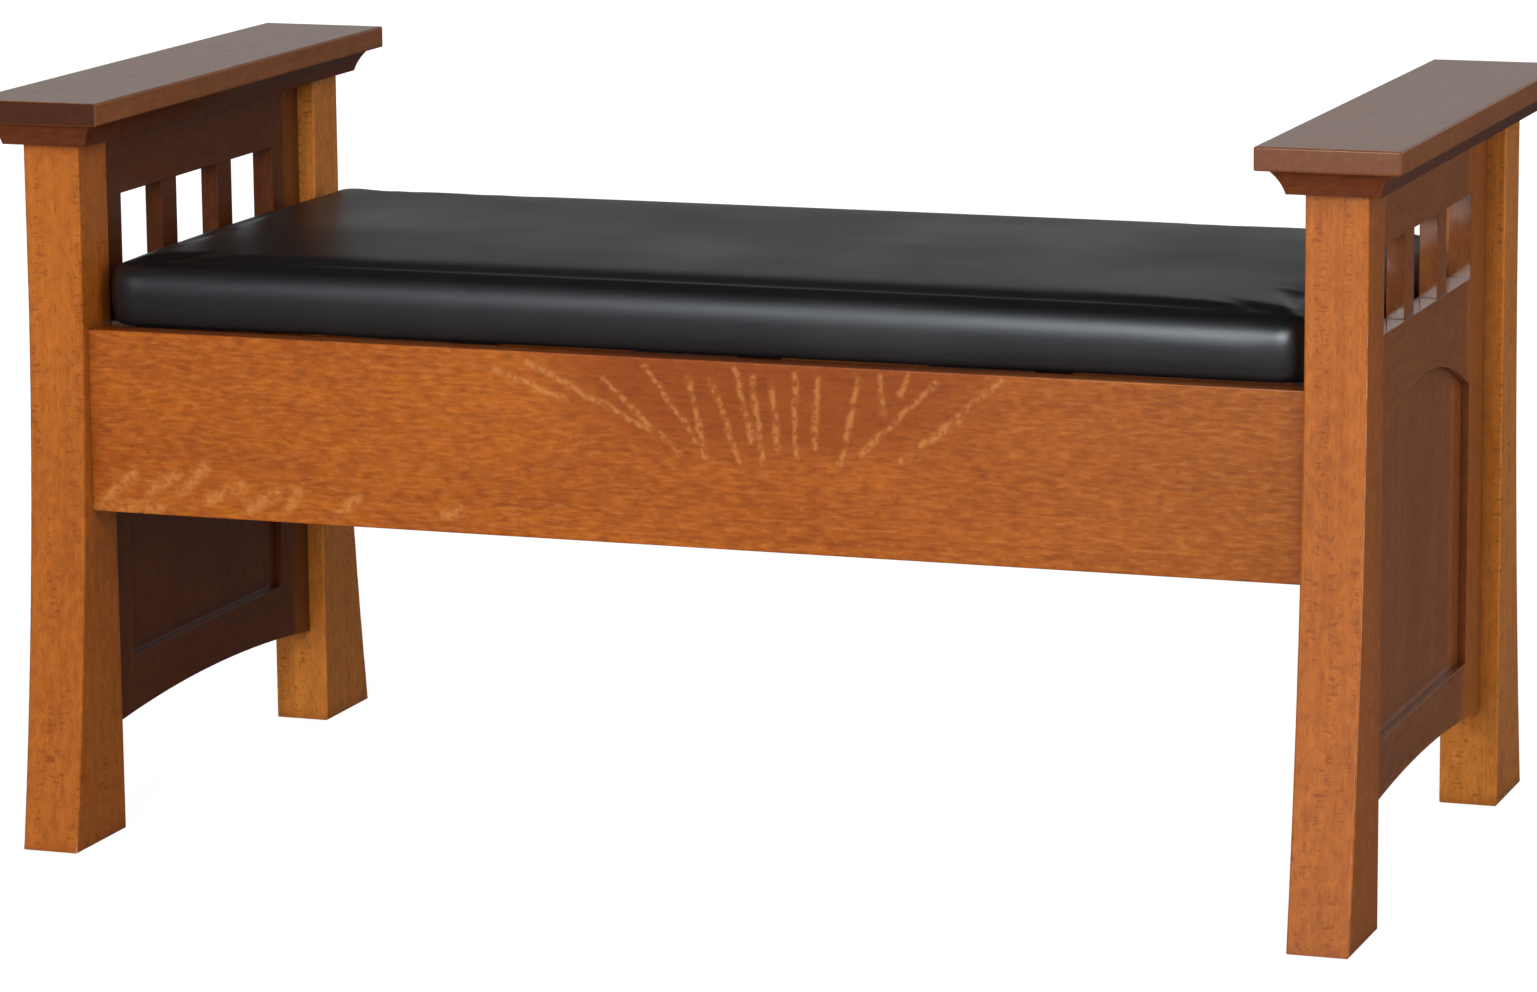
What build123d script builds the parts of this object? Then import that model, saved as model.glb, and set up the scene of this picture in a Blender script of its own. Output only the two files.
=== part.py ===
from build123d import *

import os

# Mission settle with flared posts, arched panelled ends, flat arm caps and an upholstered seat.
# Millimetres. X runs along the seat, Y from front to back and Z up. The origin is on the floor
# under the middle of the seat. The front right parts are modelled, and their twins mirrored.

# Overall sizes, over the arm caps
overall_length = 1219.0
overall_depth = 600.0
overall_height = 639.0

# Arm caps, flat boards with eased edges
cap_thickness = 19.0
cap_overhang = 33.0
cap_edge_round = 1.5

# Cove mouldings, mitred round the posts under each cap
moulding_height = 20.0
moulding_foot = 12.5
moulding_reach = 24.0
moulding_hollow = 1.6

# Posts, straight above the flare and curving out below it
post_width = 50.8
post_depth = 53.0
post_edge_round = 1.6
foot_flare = 42.0
straight_height = 100.0

# Long rails, tenoned into the posts, a fixed drop below the arm caps
rail_height = 155.0
rail_thickness = 22.0
rail_drop = 177.0
rail_setback = 8.5
rail_edge_round = 1.0
rail_tenon_length = 32.0
rail_tenon_thickness = 10.0
rail_tenon_shoulder = 12.0

# End frames, their heights measured above the floor
frame_thickness = 19.0
frame_edge_round = 0.8
stile_width = 58.0
top_rail_height = 76.0
opening_height = 72.0
middle_rail_height = 55.0
panel_arch_rise = 36.0
bottom_rail_top = 140.0
skirt_arch_crown = 98.0
skirt_arch_rise = 12.0

# One grooving cutter makes every tongue and groove of the end frames
tongue_thickness = 6.4
tongue_length = 10.0
tongue_shoulder = 12.0
panel_play = 1.5

# Slats in the opening of each end
slat_count = 2
slat_width = 30.0
slat_thickness = 16.0
slat_shoulder = 3.0

# Dowels between the posts and the caps
dowel_radius = 4.0
dowel_length = 40.0
dowel_spacing = 25.0
dowel_in_cap = 12.0

# Nylon glides pushed into the feet
glide_radius = 12.0
glide_thickness = 5.0
glide_projection = 2.0
glide_stem_radius = 3.5
glide_stem_length = 14.0

# Seat supports: cleats along the rails and ends, and flat bearers across
cleat_thickness = 19.0
cleat_height = 38.0
cleat_end_gap = 1.0
end_cleat_thickness = 38.0
bearer_count = 3
bearer_width = 89.0
bearer_thickness = 19.0

# Countersunk wood screws
screw_radius = 2.1
screw_head_radius = 4.2
screw_head_depth = 2.6
cleat_screw_length = 32.0
cleat_screw_count = 4
end_cleat_screw_length = 50.0
bearer_screw_length = 38.0
seat_screw_length = 30.0
screw_edge_distance = 20.0

# Seat: plywood board, foam and a leather cover turned under the board
seat_gap = 4.0
seat_setback = 20.0
seat_height = 54.0
seat_crown = 4.0
seat_corner_radius = 21.0
seat_draw_in = 3.0
seat_bulge_share = 0.45
seat_edge_round = 20.0
seat_foot_round = 5.0
foam_wrap = 4.0
seat_board_thickness = 12.7
leather_thickness = 1.4
leather_margin = 30.0
dust_cover_thickness = 0.6

# Fits
joint_clearance = 0.15
overrun = 1.0

# Hidden screws, dowels and stems are many, so they and their holes have few sides
rod_sides = 8

# Places that follow from the sizes above
end_x = overall_length / 2 - cap_overhang - post_width / 2
post_inside_x = end_x - post_width / 2
post_front = overall_depth / 2 - cap_overhang
post_inner = post_front - post_depth
post_middle = (post_front + post_inner) / 2
cap_underside = overall_height - cap_thickness
flare_top = cap_underside - straight_height
rail_top = cap_underside - rail_drop
rail_underside = rail_top - rail_height
rail_face = post_front - rail_setback
seat_front = rail_face - seat_setback
rail_inner_face = rail_face - rail_thickness
rail_middle = rail_face - rail_thickness / 2
rail_tenon_height = rail_height - 2 * rail_tenon_shoulder

frame_inside_x = end_x - frame_thickness / 2
stile_edge = post_inner - stile_width
opening_top = cap_underside - top_rail_height
opening_bottom = opening_top - opening_height
panel_arch_crown = opening_bottom - middle_rail_height
panel_arch_spring = panel_arch_crown - panel_arch_rise
skirt_arch_spring = skirt_arch_crown - skirt_arch_rise
groove_width = tongue_thickness + 2 * joint_clearance
groove_depth = tongue_length + joint_clearance
tongue_low = skirt_arch_spring + tongue_shoulder
tongue_high = cap_underside - tongue_shoulder
slat_pitch = (2 * stile_edge + slat_width) / (slat_count + 1)

bearer_underside = rail_top - bearer_thickness
cleat_middle_z = bearer_underside - cleat_height / 2
end_cleat_inside_x = frame_inside_x - end_cleat_thickness
bearer_pitch = 2 * end_cleat_inside_x / (bearer_count + 1)
foot_middle = (post_front + foot_flare + post_inner) / 2

end_plane = Plane.YZ.offset(end_x)


def arch_radius(half_span, rise):
    """Radius of the arc that rises by rise over twice half_span."""
    return (half_span**2 + rise**2) / (2 * rise)


panel_arch_radius = arch_radius(stile_edge, panel_arch_rise)
skirt_arch_radius = arch_radius(post_inner, skirt_arch_rise)


def save(piece, name):
    """Label one sub-part and write its file."""
    piece.part.label = name
    export_step(piece.part, f"parts/{name}.step")


def twin_of(piece, plane):
    """The same sub-part seen in a mirror."""
    with BuildPart() as twin:
        mirror(piece.part, about=plane)
    return twin


def with_twin(piece, plane):
    """A group of solids and its twin in one sub-part."""
    with BuildPart() as pair:
        add(piece.part)
        mirror(piece.part, about=plane)
    return pair


def save_ends(piece, name):
    """Save a sub-part of the right end and its twin at the left."""
    save(piece, f"right_{name}")
    save(twin_of(piece, Plane.YZ), f"left_{name}")


# Screws. Each lies along its place's Z axis, with the top of its head at the place.


def screw_form(length, clearance):
    """One countersunk screw, or with a clearance the hole that it is driven into."""
    radius = screw_radius + clearance
    with BuildPart() as form:
        with BuildSketch():
            RegularPolygon(radius, rod_sides)
        extrude(amount=-length - clearance)
        with BuildSketch():
            RegularPolygon(screw_head_radius + clearance, rod_sides)
        with BuildSketch(Plane.XY.offset(-screw_head_depth)):
            RegularPolygon(radius, rod_sides)
        loft(ruled=True)
    return form.part


def screw_group(places, length):
    """All screws of one kind, as separate solids."""
    form = screw_form(length, 0)
    with BuildPart() as group:
        with Locations(*places):
            add(form)
    return group


def facing(outward, points):
    """Places at the points, with Z pointing outward."""
    return [Plane(origin=point, z_dir=outward).location for point in points]


cleat_screw_reach = post_inside_x - screw_edge_distance
cleat_screw_step = 2 * cleat_screw_reach / (cleat_screw_count - 1)
cleat_screw_x = [step * cleat_screw_step - cleat_screw_reach for step in range(cleat_screw_count)]
front_cleat_screw_places = facing(
    (0, 1, 0),
    [(x, cleat_thickness - rail_inner_face, cleat_middle_z) for x in cleat_screw_x],
)
end_cleat_middle_z = rail_top - cleat_height / 2
end_cleat_screw_y = post_inner - stile_width / 2
end_cleat_screw_places = facing(
    (-1, 0, 0),
    [(end_cleat_inside_x, side * end_cleat_screw_y, end_cleat_middle_z) for side in (-1, 1)],
)
bearer_x = [(step - (bearer_count - 1) / 2) * bearer_pitch for step in range(bearer_count)]
bearer_screw_y = rail_inner_face - cleat_thickness / 2
bearer_screw_places = facing(
    (0, 0, 1),
    [(x, end * bearer_screw_y, rail_top) for x in bearer_x for end in (-1, 1)],
)
seat_screw_places = facing(
    (0, 0, -1),
    [(x, end * rail_inner_face / 2, bearer_underside) for x in bearer_x for end in (-1, 1)],
)
cleat_screw_hole = screw_form(cleat_screw_length, joint_clearance)
end_cleat_screw_hole = screw_form(end_cleat_screw_length, joint_clearance)
bearer_screw_hole = screw_form(bearer_screw_length, joint_clearance)
seat_screw_hole = screw_form(seat_screw_length, joint_clearance)


# Posts


def front_right_post():
    """Flared post with its mortise, its groove for the end frame and its dowel holes."""
    with BuildPart() as post:
        with BuildSketch(end_plane):
            with BuildLine():
                outer = Polyline(
                    (-post_front, flare_top),
                    (-post_front, cap_underside),
                    (-post_inner, cap_underside),
                    (-post_inner, glide_projection),
                    (-post_front - foot_flare, glide_projection),
                )
                TangentArc(outer @ 0, outer @ 1, tangent=(0, -1))
            make_face()
        extrude(amount=post_width / 2, both=True)
        rims = post.faces().filter_by(Axis.X).edges().sort_by(Axis.Z)
        fillet(rims[:-2], radius=post_edge_round)

        with BuildSketch(Plane.YZ.offset(post_inside_x)):
            with Locations((-rail_middle, rail_underside + rail_height / 2)):
                Rectangle(
                    rail_tenon_thickness + 2 * joint_clearance,
                    rail_tenon_height + 2 * joint_clearance,
                )
        extrude(amount=rail_tenon_length + joint_clearance, mode=Mode.SUBTRACT)

        with BuildSketch(Plane.XZ.offset(post_inner)):
            with Locations((end_x, (tongue_low + tongue_high) / 2)):
                Rectangle(groove_width, tongue_high - tongue_low + 2 * joint_clearance)
        extrude(amount=groove_depth, mode=Mode.SUBTRACT)

        with BuildSketch(Plane.XY.offset(cap_underside)):
            with Locations((end_x, -post_middle)):
                with GridLocations(dowel_spacing, 0, 2, 1):
                    RegularPolygon(dowel_radius + joint_clearance, rod_sides)
        extrude(amount=dowel_in_cap - dowel_length - joint_clearance, mode=Mode.SUBTRACT)

        with BuildSketch(Plane.XY.offset(glide_projection)):
            with Locations((end_x, -foot_middle)):
                Circle(glide_radius + joint_clearance)
        extrude(amount=glide_thickness - glide_projection, mode=Mode.SUBTRACT)
        with BuildSketch(Plane.XY.offset(glide_projection)):
            with Locations((end_x, -foot_middle)):
                RegularPolygon(glide_stem_radius + joint_clearance, rod_sides)
        stem_hole_depth = glide_thickness + glide_stem_length + joint_clearance - glide_projection
        extrude(amount=stem_hole_depth, mode=Mode.SUBTRACT)
    return post


def foot_glides():
    """Four nylon discs, each with a stem in the foot of a post."""
    with BuildPart() as glide:
        with BuildSketch():
            Circle(glide_radius)
        extrude(amount=glide_thickness)
        with BuildSketch(Plane.XY.offset(glide_thickness)):
            RegularPolygon(glide_stem_radius, rod_sides)
        extrude(amount=glide_stem_length)
    with BuildPart() as glides:
        with GridLocations(2 * end_x, 2 * foot_middle, 2, 2):
            add(glide.part)
    return glides


# Long rails


def front_rail():
    """Deep rail with a tenon on each end, set back from the faces of the posts."""
    middle_z = rail_underside + rail_height / 2
    with BuildPart() as rail:
        with BuildSketch(Plane.XZ.offset(rail_inner_face)):
            with Locations((0, middle_z)):
                Rectangle(2 * post_inside_x, rail_height)
        extrude(amount=rail_thickness)
        long_edges = rail.edges().filter_by(Axis.X)
        fillet(long_edges, radius=rail_edge_round)

        with BuildSketch(Plane.XZ.offset(rail_middle - rail_tenon_thickness / 2)):
            with Locations((0, middle_z)):
                Rectangle(2 * (post_inside_x + rail_tenon_length), rail_tenon_height)
        extrude(amount=rail_tenon_thickness)

        with Locations(*front_cleat_screw_places):
            add(cleat_screw_hole, mode=Mode.SUBTRACT)
    return rail


# End frames


def front_stile():
    """Stile with a tongue for the post, and a groove and a mortise for the rails."""
    with BuildPart() as stile:
        with BuildSketch(end_plane):
            with Locations((-post_inner, 0)):
                Rectangle(stile_width, cap_underside, align=(Align.MIN, Align.MIN))
        extrude(amount=frame_thickness / 2, both=True)
        with BuildSketch(end_plane):
            with Locations((0, skirt_arch_crown - skirt_arch_radius)):
                Circle(skirt_arch_radius)
        extrude(amount=frame_thickness, both=True, mode=Mode.SUBTRACT)
        fillet(stile.edges().group_by(Axis.Z)[0], radius=frame_edge_round)

        with BuildSketch(end_plane):
            with Locations((-post_inner, tongue_low)):
                Rectangle(
                    2 * tongue_length,
                    tongue_high - tongue_low,
                    align=(Align.CENTER, Align.MIN),
                )
        extrude(amount=tongue_thickness / 2, both=True)

        groove_spans = (
            (tongue_low, opening_bottom - tongue_shoulder),
            (opening_top + tongue_shoulder, tongue_high),
        )
        for low, high in groove_spans:
            with BuildSketch(Plane.XZ.offset(stile_edge)):
                with Locations((end_x, (low + high) / 2)):
                    Rectangle(groove_width, high - low + 2 * joint_clearance)
            extrude(amount=groove_depth, mode=Mode.SUBTRACT)

        with Locations(*end_cleat_screw_places):
            add(end_cleat_screw_hole, mode=Mode.SUBTRACT)
    return stile


def end_rail_blank(low, high, tenon_low, tenon_high):
    """Board between the stiles with a stub tenon on each end."""
    with BuildPart() as blank:
        with BuildSketch(end_plane):
            with Locations((0, (low + high) / 2)):
                Rectangle(2 * stile_edge, high - low)
        extrude(amount=frame_thickness / 2, both=True)
        with BuildSketch(end_plane):
            with Locations((0, (tenon_low + tenon_high) / 2)):
                Rectangle(2 * (stile_edge + tongue_length), tenon_high - tenon_low)
        extrude(amount=tongue_thickness / 2, both=True)
    return blank.part


def slat_mortises(level):
    """Outlines of the slat mortises at one edge of the opening."""
    with BuildSketch(Plane.XY.offset(level)) as outlines:
        with Locations((end_x, 0)):
            with GridLocations(0, slat_pitch, 1, slat_count):
                Rectangle(groove_width, slat_width - 2 * slat_shoulder + 2 * joint_clearance)
    return outlines.sketch


def top_rail():
    """Rail between the openings and the arm cap."""
    with BuildPart() as rail:
        add(end_rail_blank(opening_top, cap_underside, opening_top + tongue_shoulder, tongue_high))
        extrude(slat_mortises(opening_top), amount=groove_depth, mode=Mode.SUBTRACT)
    return rail


def middle_rail():
    """Rail under the openings, arched and grooved over the panel."""
    tenon_low = panel_arch_spring + groove_depth
    tenon_high = opening_bottom - tongue_shoulder
    with BuildPart() as rail:
        add(end_rail_blank(panel_arch_spring, opening_bottom, tenon_low, tenon_high))
        extrude(slat_mortises(opening_bottom), amount=-groove_depth, mode=Mode.SUBTRACT)
        with BuildSketch(end_plane):
            with Locations((0, panel_arch_crown - panel_arch_radius)):
                Circle(panel_arch_radius)
        extrude(amount=frame_thickness, both=True, mode=Mode.SUBTRACT)
        with BuildSketch(end_plane):
            with Locations((0, panel_arch_crown + groove_depth - panel_arch_radius)):
                Circle(panel_arch_radius)
        extrude(amount=groove_width / 2, both=True, mode=Mode.SUBTRACT)
    return rail


def bottom_rail():
    """Rail under the panel, grooved along its top and arched below."""
    with BuildPart() as rail:
        add(end_rail_blank(skirt_arch_spring, bottom_rail_top, tongue_low, bottom_rail_top))
        with BuildSketch(end_plane):
            with Locations((0, skirt_arch_crown - skirt_arch_radius)):
                Circle(skirt_arch_radius)
        extrude(amount=frame_thickness, both=True, mode=Mode.SUBTRACT)
        with BuildSketch(Plane.XY.offset(bottom_rail_top)):
            with Locations((end_x, 0)):
                Rectangle(groove_width, 2 * (stile_edge + tongue_length + overrun))
        extrude(amount=-groove_depth, mode=Mode.SUBTRACT)
    return rail


def end_panel():
    """Flat panel that floats in the grooves round it, with an arched top."""
    hold = groove_depth - panel_play
    low = bottom_rail_top - hold
    high = panel_arch_crown + hold
    with BuildPart() as panel:
        with BuildSketch(end_plane):
            with Locations((0, (low + high) / 2)):
                Rectangle(2 * (stile_edge + hold), high - low)
            with Locations((0, high - panel_arch_radius)):
                Circle(panel_arch_radius, mode=Mode.INTERSECT)
        extrude(amount=tongue_thickness / 2, both=True)
    return panel


def end_slat(index):
    """Slat with a tenon on each end, counted from the front."""
    with BuildPart() as slat:
        slat_y = (index - (slat_count - 1) / 2) * slat_pitch
        slat_plane = Plane(
            origin=(end_x, slat_y, (opening_bottom + opening_top) / 2),
            x_dir=(0, 1, 0),
            z_dir=(1, 0, 0),
        )
        with BuildSketch(slat_plane):
            Rectangle(slat_width, opening_height)
        extrude(amount=slat_thickness / 2, both=True)
        fillet(slat.edges().filter_by(Axis.Z), radius=frame_edge_round)
        with BuildSketch(slat_plane):
            Rectangle(slat_width - 2 * slat_shoulder, opening_height + 2 * tongue_length)
        extrude(amount=tongue_thickness / 2, both=True)
    return slat


# Arm caps and their mouldings


def arm_cap():
    """Flat board over the two posts of one end."""
    with BuildPart() as cap:
        with BuildSketch(Plane.XY.offset(cap_underside)):
            with Locations((end_x, 0)):
                Rectangle(post_width + 2 * cap_overhang, overall_depth)
        extrude(amount=cap_thickness)
        fillet(cap.edges(), radius=cap_edge_round)
        with BuildSketch(Plane.XY.offset(cap_underside)):
            with Locations((end_x, 0)):
                with GridLocations(dowel_spacing, 2 * post_middle, 2, 2):
                    RegularPolygon(dowel_radius + joint_clearance, rod_sides)
        extrude(amount=dowel_in_cap + joint_clearance, mode=Mode.SUBTRACT)
    return cap


def cap_dowels():
    """Dowels that hold one cap on its posts."""
    with BuildPart() as dowels:
        with BuildSketch(Plane.XY.offset(cap_underside + dowel_in_cap - dowel_length)):
            with Locations((end_x, 0)):
                with GridLocations(dowel_spacing, 2 * post_middle, 2, 2):
                    RegularPolygon(dowel_radius, rod_sides)
        extrude(amount=dowel_length)
    return dowels


def cap_moulding(base, run):
    """Cove strip, mitred at both ends. The base plane's Y points away from the posts."""
    with BuildPart() as strip:
        with BuildSketch(Plane(origin=base.origin, x_dir=base.y_dir, z_dir=base.x_dir)):
            with BuildLine():
                edge = Polyline(
                    (moulding_reach, 0),
                    (0, 0),
                    (0, -moulding_height),
                    (moulding_foot, -moulding_height),
                )
                SagittaArc(edge @ 1, edge @ 0, moulding_hollow)
            make_face()
        extrude(amount=run / 2 + moulding_reach, both=True)
        with BuildSketch(base):
            with BuildLine():
                Polyline(
                    (-run / 2, 0),
                    (run / 2, 0),
                    (run / 2 + moulding_reach, moulding_reach),
                    (-run / 2 - moulding_reach, moulding_reach),
                    close=True,
                )
            make_face()
        extrude(amount=-moulding_height, mode=Mode.INTERSECT)
    return strip


def moulding_base(x, y, outward):
    """Plane at the top of a strip, in the middle of its back edge."""
    along = Vector(*outward).cross(Vector(0, 0, 1))
    return Plane(origin=(x, y, cap_underside), x_dir=along, z_dir=(0, 0, 1))


# Seat supports


def front_cleat():
    """Ledger along the inner face of a long rail, under the bearers."""
    with BuildPart() as cleat:
        with BuildSketch(Plane.XZ.offset(rail_inner_face - cleat_thickness)):
            with Locations((0, cleat_middle_z)):
                Rectangle(2 * (post_inside_x - cleat_end_gap), cleat_height)
        extrude(amount=cleat_thickness)
        with Locations(*front_cleat_screw_places):
            add(cleat_screw_hole, mode=Mode.SUBTRACT)
        with Locations(*bearer_screw_places):
            add(bearer_screw_hole, mode=Mode.SUBTRACT)
    return cleat


def end_cleat():
    """Block across one end frame, between the posts, under the end of the seat."""
    with BuildPart() as cleat:
        with BuildSketch(Plane.YZ.offset(end_cleat_inside_x)):
            with Locations((0, end_cleat_middle_z)):
                Rectangle(2 * (post_inner - cleat_end_gap), cleat_height)
        extrude(amount=end_cleat_thickness)
        with Locations(*end_cleat_screw_places):
            add(end_cleat_screw_hole, mode=Mode.SUBTRACT)
    return cleat


def seat_bearer(x):
    """Flat board from cleat to cleat, flush with the tops of the rails."""
    with BuildPart() as bearer:
        with BuildSketch(Plane.XY.offset(bearer_underside)):
            with Locations((x, 0)):
                Rectangle(bearer_width, 2 * (rail_inner_face - joint_clearance))
        extrude(amount=bearer_thickness)
        with Locations(*bearer_screw_places):
            add(bearer_screw_hole, mode=Mode.SUBTRACT)
        with Locations(*seat_screw_places):
            add(seat_screw_hole, mode=Mode.SUBTRACT)
    return bearer


# Seat


def seat_outline(level, inset, skin):
    """Plan of the seat at one level, drawn in by inset and then by skin on every side."""
    with BuildSketch(Plane.XY.offset(level)) as outline:
        RectangleRounded(
            2 * (post_inside_x - seat_gap - inset - skin),
            2 * (seat_front - inset - skin),
            seat_corner_radius - skin,
        )
    return outline.sketch


def crown_section(x, edge_height):
    """End view of the space under the crown at one place along the seat."""
    side = seat_front + overrun
    with BuildSketch(Plane.YZ.offset(x)) as section:
        with BuildLine():
            box = Polyline(
                (-side, edge_height),
                (-side, rail_top - overrun),
                (side, rail_top - overrun),
                (side, edge_height),
            )
            ThreePointArc(box @ 0, (0, edge_height + seat_crown / 2), box @ 1)
        make_face()
    return section.sketch


def cushion_form(skin):
    """Crowned cushion with drawn-in sides, smaller than the real one by skin all round."""
    reach = post_inside_x - seat_gap + overrun
    edge_height = rail_top + seat_height - skin
    bulge_height = rail_top + seat_bulge_share * seat_height
    with BuildPart() as form:
        loft(
            [
                seat_outline(rail_top + skin, seat_draw_in, skin),
                seat_outline(bulge_height, 0, skin),
                seat_outline(edge_height + seat_crown + overrun, seat_draw_in / 2, skin),
            ]
        )
        loft(
            [
                crown_section(-reach, edge_height),
                crown_section(0, edge_height + seat_crown / 2),
                crown_section(reach, edge_height),
            ],
            mode=Mode.INTERSECT,
        )
        rim = form.faces().sort_by(Axis.Z)[-1].edges()
        fillet(rim, radius=seat_edge_round - skin)
        foot = form.faces().sort_by(Axis.Z)[0].edges()
        fillet(foot, radius=seat_foot_round - skin)
    return form.part


def seat_board():
    """Plywood board that the seat is built on."""
    with BuildPart() as board:
        inset = seat_draw_in + foam_wrap
        outline = seat_outline(rail_top + leather_thickness, inset, leather_thickness)
        extrude(outline, amount=seat_board_thickness)
        with Locations(*seat_screw_places):
            add(seat_screw_hole, mode=Mode.SUBTRACT)
    return board


def seat_foam(board, filling):
    """Foam over the board and round its edges."""
    with BuildPart() as foam:
        add(filling)
        add(board.part, mode=Mode.SUBTRACT)
        board_underside = seat_outline(rail_top, seat_draw_in + foam_wrap, leather_thickness)
        extrude(board_underside, amount=leather_thickness + seat_board_thickness, mode=Mode.SUBTRACT)
    return foam


def seat_cover(filling):
    """Leather over the foam, turned under the board and open in the middle below."""
    with BuildPart() as cover:
        add(cushion_form(0))
        add(filling, mode=Mode.SUBTRACT)
        opening = seat_outline(rail_top - overrun, seat_draw_in + leather_margin, 0)
        extrude(opening, amount=overrun + leather_thickness + overrun, mode=Mode.SUBTRACT)
    return cover


def seat_dust_cover():
    """Cloth under the board, inside the turned margin of the leather."""
    with BuildPart() as cloth:
        level = rail_top + leather_thickness - dust_cover_thickness
        outline = seat_outline(level, seat_draw_in + leather_margin + cleat_end_gap, 0)
        extrude(outline, amount=dust_cover_thickness)
        with Locations(*seat_screw_places):
            add(seat_screw_hole, mode=Mode.SUBTRACT)
    return cloth


# The whole settle

os.makedirs("parts", exist_ok=True)

right_post = front_right_post()
left_post = twin_of(right_post, Plane.YZ)
save(right_post, "front_right_post")
save(left_post, "front_left_post")
save(twin_of(right_post, Plane.XZ), "rear_right_post")
save(twin_of(left_post, Plane.XZ), "rear_left_post")
save(foot_glides(), "foot_glides")

rail = front_rail()
save(rail, "front_rail")
save(twin_of(rail, Plane.XZ), "back_rail")

stile = front_stile()
save_ends(stile, "end_front_stile")
save_ends(twin_of(stile, Plane.XZ), "end_rear_stile")
save_ends(top_rail(), "end_top_rail")
save_ends(middle_rail(), "end_middle_rail")
save_ends(bottom_rail(), "end_bottom_rail")
save_ends(end_panel(), "end_panel")
for index in range(slat_count):
    save_ends(end_slat(index), f"end_slat_{index + 1}")

save_ends(arm_cap(), "arm_cap")
save_ends(cap_dowels(), "cap_dowels")
strip_runs = {
    "front": (moulding_base(end_x, -post_front, (0, -1, 0)), post_width),
    "rear": (moulding_base(end_x, post_front, (0, 1, 0)), post_width),
    "inner": (moulding_base(post_inside_x, 0, (-1, 0, 0)), 2 * post_front),
    "outer": (moulding_base(post_inside_x + post_width, 0, (1, 0, 0)), 2 * post_front),
}
for place, (base, run) in strip_runs.items():
    save_ends(cap_moulding(base, run), f"cap_moulding_{place}")

cleat = front_cleat()
save(cleat, "front_cleat")
save(twin_of(cleat, Plane.XZ), "back_cleat")
save_ends(end_cleat(), "end_cleat")
for index, x in enumerate(bearer_x):
    save(seat_bearer(x), f"seat_bearer_{index + 1}")

front_cleat_screws = screw_group(front_cleat_screw_places, cleat_screw_length)
right_cleat_screws = screw_group(end_cleat_screw_places, end_cleat_screw_length)
save(with_twin(front_cleat_screws, Plane.XZ), "cleat_screws")
save(with_twin(right_cleat_screws, Plane.YZ), "end_cleat_screws")
save(screw_group(bearer_screw_places, bearer_screw_length), "bearer_screws")
save(screw_group(seat_screw_places, seat_screw_length), "seat_screws")

filling = cushion_form(leather_thickness)
board = seat_board()
save(board, "seat_board")
save(seat_foam(board, filling), "seat_foam")
save(seat_cover(filling), "seat_cover")
save(seat_dust_cover(), "seat_dust_cover")
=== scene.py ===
"""Finishes a mission settle: stained quartersawn oak, a black leather seat and a plain white studio."""

import math
from functools import partial

import bmesh
import bpy
from mathutils import Matrix, Vector


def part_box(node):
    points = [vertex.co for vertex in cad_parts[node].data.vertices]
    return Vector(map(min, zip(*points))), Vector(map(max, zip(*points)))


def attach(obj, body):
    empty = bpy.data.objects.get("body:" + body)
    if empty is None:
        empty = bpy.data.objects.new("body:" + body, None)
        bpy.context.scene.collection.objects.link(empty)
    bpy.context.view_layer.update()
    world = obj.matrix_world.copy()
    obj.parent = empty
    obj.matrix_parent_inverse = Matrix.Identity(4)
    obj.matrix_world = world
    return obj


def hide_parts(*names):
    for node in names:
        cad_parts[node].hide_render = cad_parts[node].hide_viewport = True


bl_info = {
    "name": "Mission settle",
    "version": (1, 0, 0),
    "blender": (4, 5, 0),
    "location": "3D View > Sidebar > Settle",
    "description": "Finishes a mission settle and sets up its studio",
    "category": "Add Mesh",
}

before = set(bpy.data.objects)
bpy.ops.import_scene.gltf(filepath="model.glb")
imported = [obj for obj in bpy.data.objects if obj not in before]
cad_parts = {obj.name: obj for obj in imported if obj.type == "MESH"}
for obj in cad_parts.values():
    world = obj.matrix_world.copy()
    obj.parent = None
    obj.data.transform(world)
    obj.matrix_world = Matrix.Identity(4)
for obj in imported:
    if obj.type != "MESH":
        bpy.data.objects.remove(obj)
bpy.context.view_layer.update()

MM = 0.001
SIDES = ("left", "right")
BODY = "root"
SMOOTH = {"interpolation_type": "SMOOTHSTEP"}
COLOURS = {"data_type": "RGBA"}
MID = {"From Min": 0.3, "From Max": 0.7}

# Rays in the face of the front rail, each from x, z to x, z in millimetres
FAN = (
    (-128, 434, -20, 382), (-26, 436, 20, 373), (11, 429, 25, 364), (31, 427, 54, 362),
    (82, 428, 88, 374), (122, 433, 118, 376), (157, 435, 141, 363), (175, 436, 177, 406),
    (200, 440, 192, 423), (277, 438, 193, 369), (-62, 424, 2, 366), (52, 436, 66, 378),
    (66, 431, 74, 362), (103, 436, 103, 368), (222, 434, 158, 372), (-158, 428, -96, 404),
    (242, 404, 206, 380),
)
STROKES = (
    (-522, 290, -488, 322), (-472, 309, -449, 323), (-445, 308, -421, 331), (-420, 303, -389, 316),
    (-381, 297, -355, 315), (-347, 299, -336, 314), (-299, 299, -283, 313), (-206, 302, -191, 307),
    (-515, 291, -463, 295),
)


def linear(hex_colour):
    """An sRGB hex colour as linear red, green and blue."""
    parts = [int(hex_colour[i : i + 2], 16) / 255 for i in (1, 3, 5)]
    return tuple(c / 12.92 if c <= 0.04045 else ((c + 0.055) / 1.055) ** 2.4 for c in parts)


def colour_property(label, hex_colour, description):
    colour = linear(hex_colour)
    return bpy.props.FloatVectorProperty(
        name=label, description=description, default=colour, min=0.0, max=1.0, subtype="COLOR", size=3
    )


def length_property(label, metres, description):
    return bpy.props.FloatProperty(
        name=label, description=description, default=metres, min=0.0, unit="LENGTH", precision=5
    )


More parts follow.
